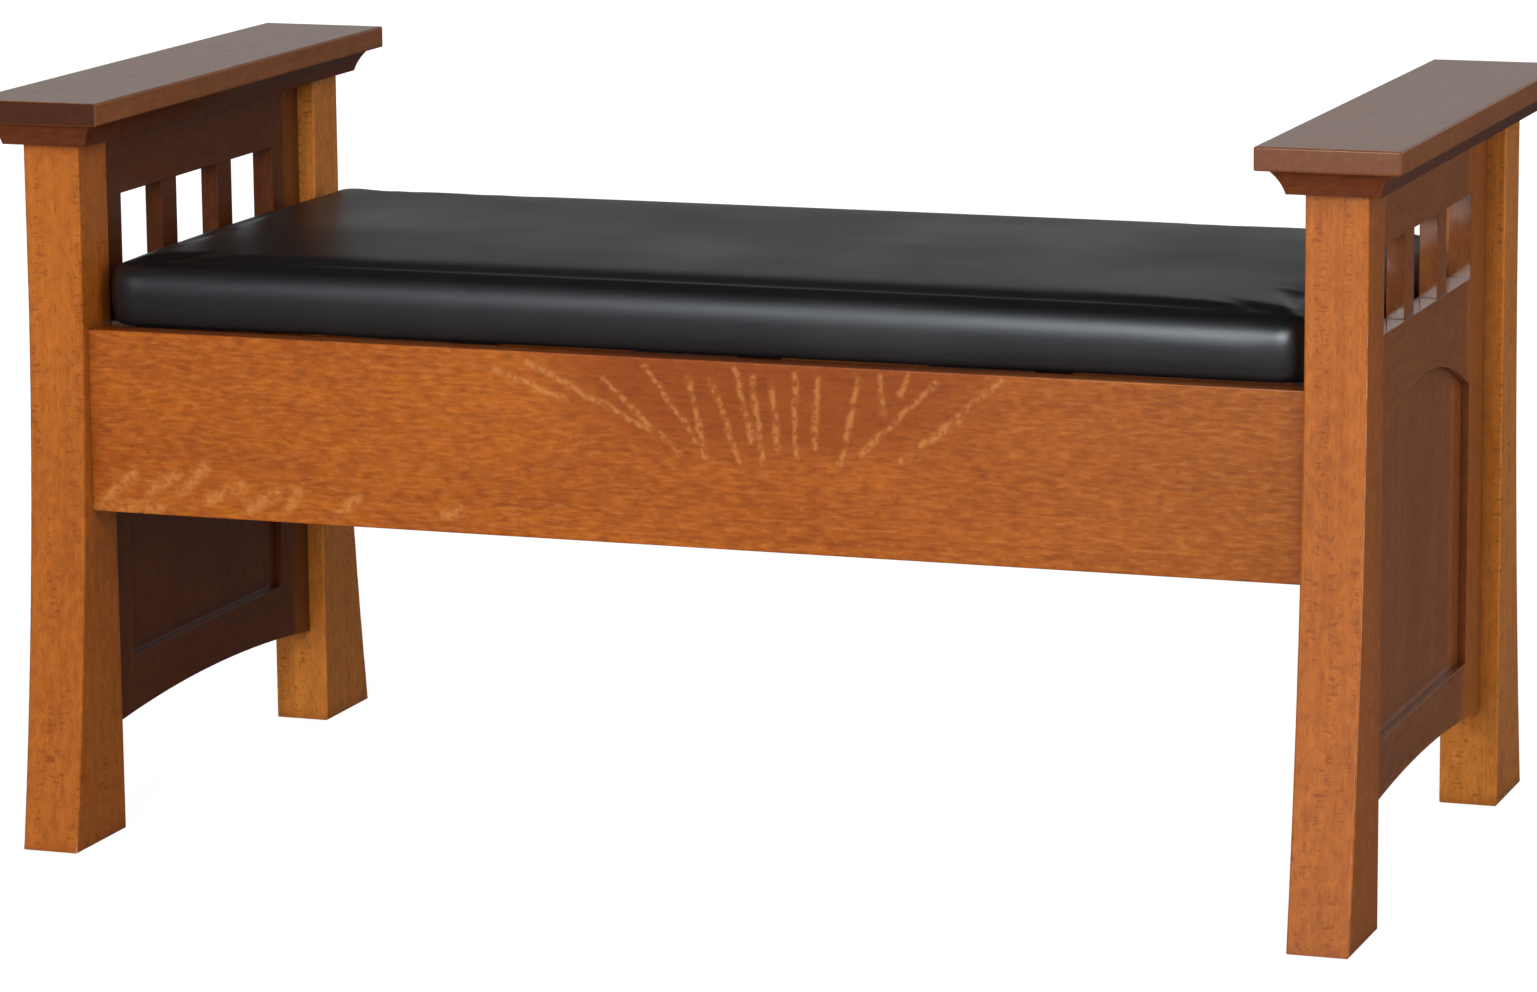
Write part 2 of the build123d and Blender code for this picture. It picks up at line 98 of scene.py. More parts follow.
def angle_property(label, radians, description):
    return bpy.props.FloatProperty(name=label, description=description, default=radians, subtype="ANGLE")


def share_property(label, value, description):
    return bpy.props.FloatProperty(
        name=label, description=description, default=value, min=0.0, max=1.0, subtype="FACTOR"
    )


class SettleOak(bpy.types.PropertyGroup):
    """Stained oak of the frame."""

    post_light: colour_property("Post, light", "#C16C20", "Light tone of the posts")
    post_dark: colour_property("Post, dark", "#90470F", "Dark tone of the posts")
    # Painted light: the rear posts get lighter tones than the front posts, to make up for the light that the
    # parts in front keep off them
    brightened_rear_light: colour_property("Rear post, light", "#E89038", "Light tone of the rear posts")
    brightened_rear_dark: colour_property("Rear post, dark", "#B5661F", "Dark tone of the rear posts")
    rail_light: colour_property("Rail, light", "#BC6411", "Light tone of the long rails")
    rail_dark: colour_property("Rail, dark", "#8A3C06", "Dark tone of the long rails")
    # Painted shade: the left end frame gets darker tones than the right one, for the shade on its inner face
    # under the arm
    shaded_left_light: colour_property("Left end, light", "#74390F", "Light tone of the left end frame")
    shaded_left_dark: colour_property("Left end, dark", "#512209", "Dark tone of the left end frame")
    right_light: colour_property("Right end, light", "#A25F2C", "Light tone of the right end frame")
    right_dark: colour_property("Right end, dark", "#7C3C17", "Dark tone of the right end frame")
    cap_light: colour_property("Cap, light", "#A3602F", "Light tone of the arm caps")
    cap_dark: colour_property("Cap, dark", "#7C431E", "Dark tone of the arm caps")
    moulding_light: colour_property("Moulding, light", "#743A18", "Light tone of the mouldings")
    moulding_dark: colour_property("Moulding, dark", "#4F220C", "Dark tone of the mouldings")
    brown: colour_property("Brown stain", "#8A5220", "Browner tone towards the right of the front rail")
    pale_ray: colour_property("Pale rays", "#D08A45", "Tone of the rays that took little stain")
    dark_ray: colour_property("Dark rays", "#6A2F0E", "Tone of the rays that took much stain")
    pore: colour_property("Pores", "#431D0B", "Tone of the stain left in the pores")
    ring_width: length_property("Ring width", 4.0 * MM, "Width of a growth ring")
    ray_width: length_property("Ray width", 2.6 * MM, "Width of a ray fleck along the grain")
    ray_length: length_property("Ray length", 9.0 * MM, "Length of a ray fleck across the grain")
    edge_round: length_property("Eased edge", 1.0 * MM, "Rounding of the sanded edges")


class SettleSeat(bpy.types.PropertyGroup):
    """Leather seat."""

    leather: colour_property("Leather", "#17171A", "Black of the leather")
    scuff: colour_property("Rubbed leather", "#222122", "Tone where the leather is rubbed")
    grain_size: length_property("Leather grain", 1.3 * MM, "Width of one cell of the leather's grain")
    voxel: length_property("Mesh size", 6.0 * MM, "Mesh size of the seat before it is filled")
    corner: length_property("Corner", 21.0 * MM, "Radius of the upright corners")
    edge: length_property("Fixed edge", 2.0 * MM, "Height of the leather that the board holds fast")
    foot: length_property("Held foot", 30.0 * MM, "Height over which that hold fades")
    pleat_width: length_property("Pleat width", 2.6 * MM, "Half width of the fold in each corner")
    pleat_depth: length_property("Pleat depth", 1.6 * MM, "Depth of the fold in each corner")
    tuck: length_property("Tuck", 0.6 * MM, "How far the cover starts inside its final place")
    swell: length_property("Swell", 5.0 * MM, "Furthest that the filling may push the leather")
    pressure: bpy.props.FloatProperty(
        name="Filling pressure", description="Pressure of the filling", default=4.0, min=0.0
    )
    fill: share_property("Fill", 0.9, "How tightly the seat is filled")


class SettleFixings(bpy.types.PropertyGroup):
    """Screws and staples."""

    head_width: length_property("Screw head", 8.0 * MM, "Width of the countersunk head")
    head_depth: length_property("Head depth", 2.6 * MM, "Depth of the countersunk head")
    shank_width: length_property("Screw shank", 3.6 * MM, "Width of the shank under the head")
    recess_span: length_property("Recess span", 4.4 * MM, "Span of the cross recess")
    recess_width: length_property("Recess width", 0.9 * MM, "Width of each arm of the recess")
    recess_depth: length_property("Recess depth", 1.5 * MM, "Depth of the recess")
    staple_crown: length_property("Staple crown", 10.0 * MM, "Length of a staple's crown")
    staple_wire: length_property("Staple wire", 1.2 * MM, "Width of a staple's wire")
    staple_edge: length_property("Staple edge", 7.0 * MM, "Distance of the staples from the cloth's edge")
    staple_spacing: length_property("Staple spacing", 38.0 * MM, "Distance from one staple to the next")


class SettleStudio(bpy.types.PropertyGroup):
    """Camera, lamps and floor."""

    lens: bpy.props.FloatProperty(
        name="Lens", description="Focal length in millimetres", default=138.47, unit="CAMERA"
    )
    eye: bpy.props.FloatVectorProperty(
        name="Eye",
        description="Place of the camera",
        default=(1.6607, -4.6785, 1.2364),
        subtype="XYZ_LENGTH",
    )
    turn: angle_property("Turn", 0.3436, "Turn to the left")
    tilt: angle_property("Tilt", 0.1898, "Tilt down")
    roll: angle_property("Roll", -0.0090, "Roll about the line of sight")
    key_power: bpy.props.FloatProperty(
        name="Key light", description="Power of the large soft lamp", default=114.0, unit="POWER"
    )
    ambient: share_property("Room light", 0.34, "Level of the light from all round")
    mirrored: share_property("Mirrored backdrop", 0.50, "How much of the white backdrop the finishes mirror")
    dark_room: share_property("Mirrored room", 0.03, "How much of the dark room in front they mirror")
    mirrored_floor: share_property("Mirrored floor", 0.12, "How much of the floor they mirror")
    white: share_property(
        "Plain white", 0.90, "How plain the floor is near the settle, at the cost of its shadow"
    )
    floor_radius: length_property("Floor radius", 16.0, "Radius of the floor")
    shadow_radius: length_property("Shadow radius", 1.1, "Where the floor starts to fade to plain white")
    fade: length_property("Fade", 1.2, "Width of that fade")


def add(tree, kind, links=None, out=None, **settings):
    """Add a node with its settings, and give its inputs a value or a link.

    Returns the output that is named or numbered by out, or else the node.
    """
    made = tree.nodes.new(kind)
    for name, value in settings.items():
        setattr(made, name, value)
    for socket, value in (links or {}).items():
        if isinstance(value, bpy.types.NodeSocket):
            tree.links.new(value, made.inputs[socket])
        else:
            made.inputs[socket].default_value = value
    return made if out is None else made.outputs[out]


def opaque(colour):
    return (*colour, 1.0)


def stretched_noise(tree, place, sizes, seed, detail=2.0, distortion=0.0):
    """Noise whose features have these sizes in metres along the three axes of the place."""
    shift = (seed, seed * 0.7, seed * 1.3)
    stretched = {"Vector": place, "Location": shift, "Scale": [1 / size for size in sizes]}
    scaled = add(tree, "ShaderNodeMapping", stretched, 0)
    look = {"Vector": scaled, "Scale": 1.0, "Detail": detail, "Distortion": distortion}
    return add(tree, "ShaderNodeTexNoise", look, "Fac")


def link(context, name, data):
    """A new object in the scene."""
    made = bpy.data.objects.new(name, data)
    context.scene.collection.objects.link(made)
    return made


def keep_made(context, made, name):
    """Replace an object's mesh and modifiers by the plain mesh that they make."""
    evaluated = made.evaluated_get(context.evaluated_depsgraph_get())
    mesh = bpy.data.meshes.new_from_object(evaluated)
    made.modifiers.clear()
    made.data = mesh
    mesh.name = name


def seen_by_eye(tree):
    """The Light Path node, and the share of rays that reach the eye straight or through glass."""
    ray = add(tree, "ShaderNodeLightPath")
    eye = {0: ray.outputs["Is Camera Ray"], 1: ray.outputs["Is Transmission Ray"]}
    return ray, add(tree, "ShaderNodeMath", eye, 0, operation="MAXIMUM")


def new_material(name):
    material = bpy.data.materials.new(name)
    material.use_nodes = True
    material.node_tree.nodes.clear()
    return material, material.node_tree


def dress(nodes, material):
    """Give CAD nodes a material."""
    for name in nodes:
        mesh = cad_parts[name].data
        mesh.materials.clear()
        mesh.materials.append(material)


def line_distance(tree, flat, lines):
    """Distance to the nearest of these lines in the plane of the rail's face."""
    node = partial(add, tree)
    nearest = 1.0
    for x0, z0, x1, z1 in lines:
        start = Vector((x0, 0, z0)) * MM
        along = Vector((x1 - x0, 0, z1 - z0)) * MM
        offset = node("ShaderNodeVectorMath", {0: flat, 1: start}, 0, operation="SUBTRACT")
        share = {0: offset, 1: along / along.length_squared}
        done = node("ShaderNodeVectorMath", share, "Value", operation="DOT_PRODUCT")
        held = node("ShaderNodeClamp", {"Value": done}, 0)
        foot = node("ShaderNodeVectorMath", {0: along, 1: held, 2: start}, 0, operation="MULTIPLY_ADD")
        away = node("ShaderNodeVectorMath", {0: flat, 1: foot}, "Value", operation="DISTANCE")
        nearest = node("ShaderNodeMath", {0: nearest, 1: away}, 0, operation="MINIMUM")
    return nearest


def rail_figure(tree, place):
    """Pale rays of the front rail, and the redder wood round its fan of rays."""
    node = partial(add, tree)
    noise = node("ShaderNodeTexNoise", {"Vector": place, "Scale": 1 / (14 * MM), "Detail": 1.0}, "Color")
    level = node("ShaderNodeVectorMath", {0: place, 1: (1.0, 0.0, 1.0)}, 0, operation="MULTIPLY")
    bend = {0: noise, 1: (6 * MM, 0.0, 6 * MM), 2: level}
    bent = node("ShaderNodeVectorMath", bend, 0, operation="MULTIPLY_ADD")
    flat = node("ShaderNodeVectorMath", {0: bent, 1: (3 * MM, 0.0, 3 * MM)}, 0, operation="SUBTRACT")
    beads = stretched_noise(tree, place, (5 * MM,) * 3, 5.7, 1.0)
    bead = {"Value": beads, "From Min": 0.36, "From Max": 0.60, "To Min": 0.20}
    bead = node("ShaderNodeMapRange", bead, 0, **SMOOTH)
    thin = {"Value": line_distance(tree, flat, FAN), "From Min": 4.5 * MM, "From Max": 0.0}
    fan = node("ShaderNodeMapRange", thin, 0, **SMOOTH)
    wide = {"Value": line_distance(tree, flat, STROKES), "From Min": 9.0 * MM, "From Max": 0.0}
    strokes = node("ShaderNodeMapRange", wide, 0, **SMOOTH)
    lines = node("ShaderNodeMath", {0: fan, 1: strokes}, 0, operation="MAXIMUM")
    rays = node("ShaderNodeMath", {0: lines, 1: bead}, 0, operation="MULTIPLY")
    x, z = 75 * MM, 430 * MM
    half_width, half_height = 210 * MM, 75 * MM
    squeezed = (1 / half_width, 0.0, 1 / half_height)
    oval = {0: flat, 1: squeezed, 2: (-x / half_width, 0.0, -z / half_height)}
    oval = node("ShaderNodeVectorMath", oval, 0, operation="MULTIPLY_ADD")
    far = node("ShaderNodeVectorMath", {0: oval}, "Value", operation="LENGTH")
    red = node("ShaderNodeMapRange", {"Value": far, "From Min": 1.15, "From Max": 0.55}, 0, **SMOOTH)
    return rays, red


def rail_layers(tree, place, board, dark, ray):
    """The front rail's own layers: redder wood, browner wood, dashes and pale rays, as shares and tones."""
    oak = bpy.context.scene.settle_oak
    node = partial(add, tree)
    pale, red = rail_figure(tree, place)
    stain = node("ShaderNodeMath", {0: red, 1: 0.65}, 0, operation="MULTIPLY")
    right = node("ShaderNodeSeparateXYZ", {0: place}, "X")
    brown = {"Value": right, "From Min": 0.1, "From Max": 0.5, "To Max": 0.30}
    brown = node("ShaderNodeMapRange", brown, 0, **SMOOTH)
    short = stretched_noise(tree, board, (14 * MM, 3.2 * MM, 3.2 * MM), 21.0, 1.0, 0.3)
    dark_dash = {"Value": short, "From Min": 0.50, "From Max": 0.66, "To Max": 0.27}
    dark_dash = node("ShaderNodeMapRange", dark_dash, 0, **SMOOTH)
    plain = node("ShaderNodeMapRange", {"Value": red, "To Min": 0.17, "To Max": 0.0}, 0)
    pale_dash = {"Value": short, "From Min": 0.48, "From Max": 0.32, "To Max": plain}
    pale_dash = node("ShaderNodeMapRange", pale_dash, 0, **SMOOTH)
    pale = node("ShaderNodeMath", {0: pale, 1: 0.54}, 0, operation="MULTIPLY")
    return (
        (stain, dark),
        (brown, oak.brown),
        (dark_dash, ray),
        (pale_dash, oak.pale_ray),
        (pale, oak.pale_ray),
    )


def stained_oak(
    name, grain, dark, light, ray, seed, ray_share=0.3, figured=False, gloss=0.18, column=False, end=1.0
):
    """Quartersawn white oak, planed, stained and finished with semi-gloss lacquer.

    To the eye: soft rings along the board under a mottle, short dark pores, flecks of ray across
    the grain, painted shade in the corners and between parts, paler wood on the eased edges, and a clear even
    shine.
    """
    oak = bpy.context.scene.settle_oak
    material, tree = new_material(name)
    node = partial(add, tree)
    place = node("ShaderNodeTexCoord", out="Object")
    parts = node("ShaderNodeSeparateXYZ", {0: place})
    order = {"X": "XYZ", "Y": "YZX", "Z": "ZXY"}[grain]
    board = node("ShaderNodeCombineXYZ", {i: parts.outputs[axis] for i, axis in enumerate(order)}, 0)

    ring = stretched_noise(tree, board, (420 * MM, oak.ring_width, oak.ring_width), seed, 2.0, 0.15)
    fibre = stretched_noise(tree, board, (35 * MM, 1.1 * MM, 1.1 * MM), seed + 1.7, 1.0)
    mottle = stretched_noise(tree, board, (13 * MM, 7 * MM, 7 * MM), seed + 3.1, 2.0, 0.5)
    cloud = stretched_noise(tree, board, (240 * MM, 60 * MM, 60 * MM), seed + 4.2, 2.0)
    lines = 0.0
    for pattern, weight in ((fibre, 0.16), (ring, 0.22), (mottle, 0.42), (cloud, 0.28)):
        lines = node("ShaderNodeMath", {0: pattern, 1: weight, 2: lines}, 0, operation="MULTIPLY_ADD")
    tone = node("ShaderNodeMapRange", {**MID, "Value": lines}, 0)
    colour = node("ShaderNodeMix", {0: tone, 6: opaque(dark), 7: opaque(light)}, 2, **COLOURS)

    # End grain drinks more stain, and on the left cap the much darker end grain is also painted shade
    straight = node("ShaderNodeNewGeometry", out="Normal")
    sawn = node("ShaderNodeSeparateXYZ", {0: straight}, grain)
    sawn = node("ShaderNodeMath", {0: sawn}, 0, operation="ABSOLUTE")
    ends = {"Value": sawn, "From Min": 0.6, "From Max": 0.9, "To Min": 1.0, "To Max": end}
    ends = node("ShaderNodeMapRange", ends, 0, **SMOOTH)
    colour = node("ShaderNodeMix", {0: ends, 6: opaque(oak.pore), 7: colour}, 2, **COLOURS)

    # A ray shows as a short ribbon across the grain, in clusters or in one column
    rays = stretched_noise(tree, board, (oak.ray_width, oak.ray_length, oak.ray_length), seed + 7.9, 1.0, 0.4)
    spread = {True: (260 * MM, 13 * MM, 13 * MM), False: (70 * MM, 22 * MM, 22 * MM)}[column]
    cluster = stretched_noise(tree, board, spread, seed + 9.3, 1.0)
    ribbon = node("ShaderNodeMapRange", {"Value": rays, "From Min": 0.57, "From Max": 0.66}, 0, **SMOOTH)
    group = node("ShaderNodeMapRange", {"Value": cluster, "From Min": 0.50, "From Max": 0.62}, 0, **SMOOTH)
    fleck = node("ShaderNodeMath", {0: ribbon, 1: group}, 0, operation="MULTIPLY")
    shown = node("ShaderNodeMath", {0: fleck, 1: ray_share}, 0, operation="MULTIPLY")
    colour = node("ShaderNodeMix", {0: shown, 6: colour, 7: opaque(ray)}, 2, **COLOURS)
    if figured:
        for share, tone in rail_layers(tree, place, board, dark, ray):
            colour = node("ShaderNodeMix", {0: share, 6: colour, 7: opaque(tone)}, 2, **COLOURS)

    # Real pores are about 0.3 mm wide. These are wider, or they would not show.
    dashes = stretched_noise(tree, board, (7 * MM, 0.8 * MM, 0.8 * MM), seed + 2.3, 1.0)
    pores = node("ShaderNodeMapRange", {"Value": dashes, "From Min": 0.60, "From Max": 0.72}, 0, **SMOOTH)
    filled = node("ShaderNodeMath", {0: pores, 1: 0.40}, 0, operation="MULTIPLY")
    colour = node("ShaderNodeMix", {0: filled, 6: colour, 7: opaque(oak.pore)}, 2, **COLOURS)

    rounded = node("ShaderNodeBevel", {"Radius": oak.edge_round}, 0, samples=4)
    facing = node("ShaderNodeVectorMath", {0: rounded, 1: straight}, "Value", operation="DOT_PRODUCT")
    worn = {"Value": facing, "From Min": 0.995, "From Max": 0.85, "To Max": 0.30}
    worn = node("ShaderNodeMapRange", worn, 0, **SMOOTH)
    colour = node("ShaderNodeMix", {0: worn, 6: colour, 7: opaque(light)}, 2, **COLOURS)
    # Painted shade: ambient occlusion darkens the colour in corners and between parts, where shade falls
    corner = node("ShaderNodeAmbientOcclusion", {"Distance": 16 * MM}, "AO", samples=4)
    painted_corner_shade = node("ShaderNodeMix", {0: corner, 6: (0.42, 0.36, 0.34, 1.0), 7: (1, 1, 1, 1)}, 2, **COLOURS)
    colour = node("ShaderNodeMix", {0: 1.0, 6: colour, 7: painted_corner_shade}, 2, blend_type="MULTIPLY", **COLOURS)

    height = node("ShaderNodeMath", {0: fibre, 1: 0.3}, 0, operation="MULTIPLY")
    height = node("ShaderNodeMath", {0: height, 1: pores}, 0, operation="SUBTRACT")
    uneven = {"Strength": 0.25, "Distance": 0.12 * MM, "Height": height, "Normal": rounded}
    relief = node("ShaderNodeBump", uneven, 0)
    rough = node("ShaderNodeMath", {0: cloud, 1: 0.16, 2: 0.34}, 0, operation="MULTIPLY_ADD")
    rough = node("ShaderNodeMath", {0: fleck, 1: -0.08, 2: rough}, 0, operation="MULTIPLY_ADD")
    finish = {
        "Base Color": colour,
        "Roughness": rough,
        "IOR": 1.5,
        "Specular IOR Level": 0.15,
        "Coat Weight": 0.85,
        "Coat Roughness": gloss,
        "Coat IOR": 1.48,
        "Normal": relief,
        "Coat Normal": rounded,
    }
    node("ShaderNodeOutputMaterial", {"Surface": node("ShaderNodeBsdfPrincipled", finish, 0)})
    return material


def plain_wood(name, grain, dark, light, seed, roughness=0.75):
    """Sanded wood of the hidden parts, bare or stained, matt with a straight, faint grain."""
    material, tree = new_material(name)
    node = partial(add, tree)
    place = node("ShaderNodeTexCoord", out="Object")
    sizes = [{True: 180 * MM, False: 3.5 * MM}[axis == grain] for axis in "XYZ"]
    fine = [{True: 30 * MM, False: 0.9 * MM}[axis == grain] for axis in "XYZ"]
    ring = stretched_noise(tree, place, sizes, seed, 2.0, 0.2)
    fibre = stretched_noise(tree, place, fine, seed + 3.0, 1.0)
    lines = node("ShaderNodeMix", {0: 0.3, 2: ring, 3: fibre}, 0)
    tone = node("ShaderNodeMapRange", {"Value": lines, "From Min": 0.35, "From Max": 0.65}, 0, **SMOOTH)
    two = {0: tone, 6: opaque(linear(dark)), 7: opaque(linear(light))}
    dull = {**MID, "Value": fibre, "To Min": roughness - 0.08, "To Max": roughness + 0.08}
    finish = {
        "Base Color": node("ShaderNodeMix", two, 2, **COLOURS),
        "Roughness": node("ShaderNodeMapRange", dull, 0),
        "Normal": node("ShaderNodeBump", {"Strength": 0.3, "Distance": 0.15 * MM, "Height": fibre}, 0),
    }
    node("ShaderNodeOutputMaterial", {"Surface": node("ShaderNodeBsdfPrincipled", finish, 0)})
    return material


class SETTLE_OT_stage(bpy.types.Operator):
    """Camera, floor, lamps and room light"""

    bl_idname = "settle.stage"
    bl_label = "Studio"

    def execute(self, context):
        studio = context.scene.settle_studio
        self.aim_camera(context, studio)
        self.light(context, studio)
        self.light_room(context, studio)
        self.lay_floor(context, studio)
        context.scene.view_settings.view_transform = "Standard"
        return {"FINISHED"}

    def aim_camera(self, context, studio):
        data = bpy.data.cameras.new("camera")
        data.sensor_width = 36.0
        data.lens = studio.lens
        data.clip_end = 100.0
        camera = link(context, "camera", data)
        turn, tilt = studio.turn, studio.tilt
        ahead = Vector((-math.sin(turn) * math.cos(tilt), math.cos(turn) * math.cos(tilt), -math.sin(tilt)))
        level = Vector((math.cos(turn), math.sin(turn), 0.0))
        upright = level.cross(ahead)
        across = level * math.cos(studio.roll) + upright * math.sin(studio.roll)
        upward = upright * math.cos(studio.roll) - level * math.sin(studio.roll)
        axes = Matrix((across, upward, -ahead)).transposed()
        camera.matrix_world = Matrix.Translation(studio.eye) @ axes.to_4x4()
        context.scene.camera = camera

    def light(self, context, studio):
        """Lamps that face the middle of the settle: name, place, width, height and power."""
        middle = Vector((0.0, 0.0, 0.35))
        lamps = (
            ("key_lamp", (0.20, -4.5, 1.60), 1.6, 1.5, studio.key_power),
            ("reflector", (-1.0, -4.3, 1.35), 1.4, 1.4, 0.14 * studio.key_power),
            ("fill_lamp", (3.6, -1.0, 1.5), 1.6, 1.6, 0.24 * studio.key_power),
        )
        for name, place, width, height, power in lamps:
            data = bpy.data.lights.new(name, "AREA")
            data.shape = "RECTANGLE"
            data.size = width
            data.size_y = height
            data.energy = power
            lamp = link(context, name, data)
            lamp.location = place
            lamp.rotation_euler = (middle - Vector(place)).to_track_quat("-Z", "Y").to_euler()

    def light_room(self, context, studio):
        """Even light from all round, and a white backdrop that the finishes mirror."""
        world = bpy.data.worlds.new("white_room")
        world.use_nodes = True
        tree = world.node_tree
        tree.nodes.clear()
        node = partial(add, tree)
        ray, seen = seen_by_eye(tree)
        heading = node("ShaderNodeSeparateXYZ", {0: node("ShaderNodeTexCoord", out="Generated")})
        behind = {"Value": heading.outputs["Y"], "From Min": 0.1, "From Max": 0.7}
        behind = node("ShaderNodeMapRange", behind, 0, **SMOOTH)
        low = {"Value": heading.outputs["Z"], "From Min": 0.45, "From Max": 0.10}
        low = node("ShaderNodeMapRange", low, 0, **SMOOTH)
        backdrop = node("ShaderNodeMath", {0: behind, 1: low}, 0, operation="MULTIPLY")
        mirror = {"Value": backdrop, "To Min": studio.dark_room, "To Max": studio.mirrored}
        mirror = node("ShaderNodeMapRange", mirror, 0)
        level = node("ShaderNodeMix", {0: ray.outputs["Is Glossy Ray"], 2: studio.ambient, 3: mirror}, 0)
        level = node("ShaderNodeMath", {0: seen, 1: level}, 0, operation="MAXIMUM")
        room = node("ShaderNodeBackground", {"Color": (1.0, 1.0, 1.0, 1.0), "Strength": level}, 0)
        node("ShaderNodeOutputWorld", {"Surface": room})
        context.scene.world = world

    def lay_floor(self, context, studio):
        """Matt white paper that keeps the shadow near the settle and is plain white beyond."""
        mesh = bpy.data.meshes.new("floor")
        bm = bmesh.new()
        bmesh.ops.create_circle(bm, cap_ends=True, radius=studio.floor_radius, segments=96)
        bm.to_mesh(mesh)
        bm.free()
        floor = link(context, "floor", mesh)
        material, tree = new_material("matt_white_paper")
        node = partial(add, tree)
        place = node("ShaderNodeTexCoord", out="Object")
        distance = node("ShaderNodeVectorMath", {0: place}, "Value", operation="LENGTH")
        end = studio.shadow_radius + studio.fade
        fading = {"Value": distance, "From Min": studio.shadow_radius, "From Max": end}
        fading["To Min"] = studio.white
        white_share = node("ShaderNodeMapRange", fading, 0, **SMOOTH)
        ray, seen = seen_by_eye(tree)
        grey = Vector((0.86, 0.86, 0.86))
        paper = {0: ray.outputs["Is Glossy Ray"], 6: opaque(grey), 7: opaque(grey * studio.mirrored_floor)}
        paper = node("ShaderNodeMix", paper, 2, **COLOURS)
        paper = node("ShaderNodeBsdfDiffuse", {"Color": paper}, 0)
        white = node("ShaderNodeEmission", {"Color": (1, 1, 1, 1), "Strength": 1.08}, 0)
        share = node("ShaderNodeMath", {0: white_share, 1: seen}, 0, operation="MULTIPLY")
        shown = node("ShaderNodeMixShader", {0: share, 1: paper, 2: white}, 0)
        node("ShaderNodeOutputMaterial", {"Surface": shown})
        mesh.materials.append(material)


class SETTLE_OT_posts(bpy.types.Operator):
    """Finish of the four posts and their foot glides"""

    bl_idname = "settle.posts"
    bl_label = "Posts"

    def execute(self, context):
        oak = context.scene.settle_oak
        # The rear posts take the lighter tones, which are painted light
        front, rear = (oak.post_dark, oak.post_light), (oak.brightened_rear_dark, oak.brightened_rear_light)
        posts = (
            ("front_left", 1.0, front),
            ("front_right", 12.0, front),
            ("rear_left", 23.0, rear),
            ("rear_right", 34.0, rear),
        )
        for place, seed, tones in posts:
            name = f"stained_oak_{place}_post"
            post = stained_oak(name, "Z", *tones, oak.dark_ray, seed, 0.42, column=True)
            dress([f"{place}_post"], post)
        dress(["foot_glides"], self.moulded_nylon())
        return {"FINISHED"}

    def moulded_nylon(self):
        """Moulded nylon: dull brown with the faint pitting of the mould."""
        material, tree = new_material("moulded_nylon")
        node = partial(add, tree)
        place = node("ShaderNodeTexCoord", out="Object")
        pitting = stretched_noise(tree, place, (0.8 * MM,) * 3, 2.0, 2.0)
        cloud = stretched_noise(tree, place, (9 * MM,) * 3, 6.0, 1.0)
        two = {0: cloud, 6: opaque(linear("#2A211B")), 7: opaque(linear("#3A2F27"))}
        dull = {**MID, "Value": pitting, "To Min": 0.42, "To Max": 0.58}
        finish = {
            "Base Color": node("ShaderNodeMix", two, 2, **COLOURS),
            "Roughness": node("ShaderNodeMapRange", dull, 0),
            "IOR": 1.53,
            "Normal": node("ShaderNodeBump", {"Strength": 0.3, "Distance": 0.05 * MM, "Height": pitting}, 0),
        }
        node("ShaderNodeOutputMaterial", {"Surface": node("ShaderNodeBsdfPrincipled", finish, 0)})
        return material


class SETTLE_OT_long_rails(bpy.types.Operator):
    """Finish of the front and back rails"""

    bl_idname = "settle.long_rails"
    bl_label = "Long rails"

    def execute(self, context):
        oak = context.scene.settle_oak
        tones = (oak.rail_dark, oak.rail_light)
        front = ("stained_oak_front_rail", "X", *tones, oak.dark_ray, 45.0, 0.10)
        dress(["front_rail"], stained_oak(*front, figured=True))
        dress(["back_rail"], stained_oak("stained_oak_back_rail", "X", *tones, oak.pale_ray, 56.0))
        return {"FINISHED"}


class SETTLE_OT_arms(bpy.types.Operator):
    """Finish of the arm caps, their mouldings and dowels"""

    bl_idname = "settle.arms"
    bl_label = "Arms"

    def execute(self, context):
        oak = context.scene.settle_oak
        # The left cap's far lower end share is painted shade on its front end grain; the right cap's is the
        # stain that end grain drinks
        for side, seed, end in zip(SIDES, (67.0, 78.0), (0.05, 0.50)):
            tones = (oak.cap_dark, oak.cap_light, oak.dark_ray)
            cap = stained_oak(f"stained_oak_{side}_cap", "Y", *tones, seed, gloss=0.24, end=end)
            dress([f"{side}_arm_cap"], cap)
        for grain, places, seed in (("X", ("front", "rear"), 89.0), ("Y", ("inner", "outer"), 91.0)):
            tones = (oak.moulding_dark, oak.moulding_light, oak.dark_ray)
            strip = stained_oak(f"stained_oak_moulding_{places[0]}", grain, *tones, seed)
            dress([f"{side}_cap_moulding_{place}" for side in SIDES for place in places], strip)
        beech = plain_wood("bare_beech", "Z", "#B08A62", "#CDAA80", 3.0)
        dress([f"{side}_cap_dowels" for side in SIDES], beech)
        return {"FINISHED"}


class SETTLE_OT_end_frames(bpy.types.Operator):
    """Finish of the rails, stiles, slats and panels of the ends"""

    bl_idname = "settle.end_frames"
    bl_label = "End frames"

    def execute(self, context):
        oak = context.scene.settle_oak
        boards = (
            (("end_top_rail",), "Y", 102.0),
            (("end_middle_rail",), "Y", 113.0),
            (("end_bottom_rail",), "Y", 124.0),
            (("end_front_stile", "end_rear_stile"), "Z", 135.0),
            (("end_slat_1", "end_slat_2"), "Z", 146.0),
            (("end_panel",), "Z", 157.0),
        )
        # The left end's darker tones are painted shade
        tones = ((oak.shaded_left_dark, oak.shaded_left_light), (oak.right_dark, oak.right_light))
        for parts, grain, seed in boards:
            for side, two in zip(SIDES, tones):
                name = f"stained_oak_{side}_{parts[0]}"
                finish = stained_oak(name, grain, *two, oak.dark_ray, seed, 0.35, gloss=0.10)
                dress([f"{side}_{part}" for part in parts], finish)
        return {"FINISHED"}


